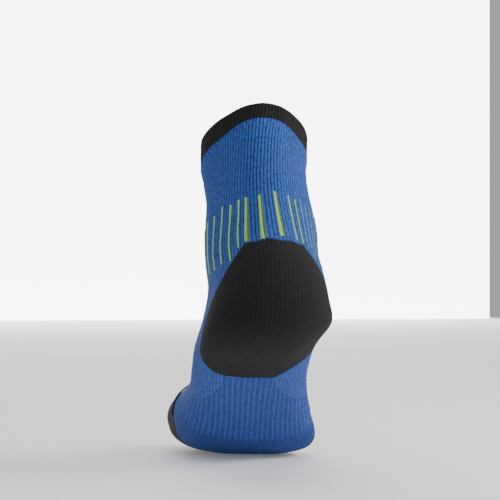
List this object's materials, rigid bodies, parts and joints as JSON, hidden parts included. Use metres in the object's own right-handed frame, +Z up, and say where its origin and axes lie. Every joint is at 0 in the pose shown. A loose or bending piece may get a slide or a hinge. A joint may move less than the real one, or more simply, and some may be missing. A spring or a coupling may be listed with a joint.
{
  "type": "ankle sports sock",
  "caption": "Knitted quarter sock for a right foot with a folded elastic welt, striped ankle, contrasting heel pouch, ribbed sole and closed toe cap, in the shape it has when worn.",
  "frame": {"origin": "centre of the leg opening, at the cuff edge", "axes": "+Z up, +Y from the heel to the toes, +X toward the little toe"},
  "size_m": [0.1, 0.2278, 0.2415],
  "materials": {
    "black_knit": "matt black rib knit",
    "blue_knit": "matt mid-blue rib knit",
    "lime_knit": "matt pale lime knitted stripe",
    "elastic": "covered elastic yarn"
  },
  "bodies": {
    "root": {"heel_pouch": "black_knit", "instep": "blue_knit", "leg_tube": "blue_knit", "sole": "blue_knit", "stripe_inner_01": "lime_knit", "stripe_inner_02": "lime_knit", "stripe_inner_03": "lime_knit", "stripe_inner_04": "lime_knit", "stripe_inner_05": "lime_knit", "stripe_inner_06": "lime_knit", "stripe_inner_07": "lime_knit", "stripe_inner_08": "lime_knit", "stripe_inner_09": "lime_knit", "stripe_outer_01": "lime_knit", "stripe_outer_02": "lime_knit", "stripe_outer_03": "lime_knit", "stripe_outer_04": "lime_knit", "stripe_outer_05": "lime_knit", "stripe_outer_06": "lime_knit", "stripe_outer_07": "lime_knit", "stripe_outer_08": "lime_knit", "stripe_outer_09": "lime_knit", "stripe_outer_10": "lime_knit", "stripe_outer_11": "lime_knit", "stripe_outer_12": "lime_knit", "stripe_outer_13": "lime_knit", "stripe_outer_14": "lime_knit", "stripe_outer_15": "lime_knit", "stripe_outer_16": "lime_knit", "stripe_outer_17": "lime_knit", "stripe_outer_18": "lime_knit", "stripe_outer_19": "lime_knit", "stripe_outer_20": "lime_knit", "stripe_outer_21": "lime_knit", "stripe_wide_1": "lime_knit", "stripe_wide_2": "lime_knit", "stripe_wide_3": "lime_knit", "toe_cap": "black_knit", "toe_seam": "black_knit", "welt_black_band": "black_knit", "welt_blue_band": "blue_knit", "welt_elastic_1": "elastic", "welt_elastic_2": "elastic", "welt_elastic_3": "elastic", "welt_elastic_4": "elastic", "welt_elastic_5": "elastic", "welt_elastic_6": "elastic"}
  },
  "joints": []
}
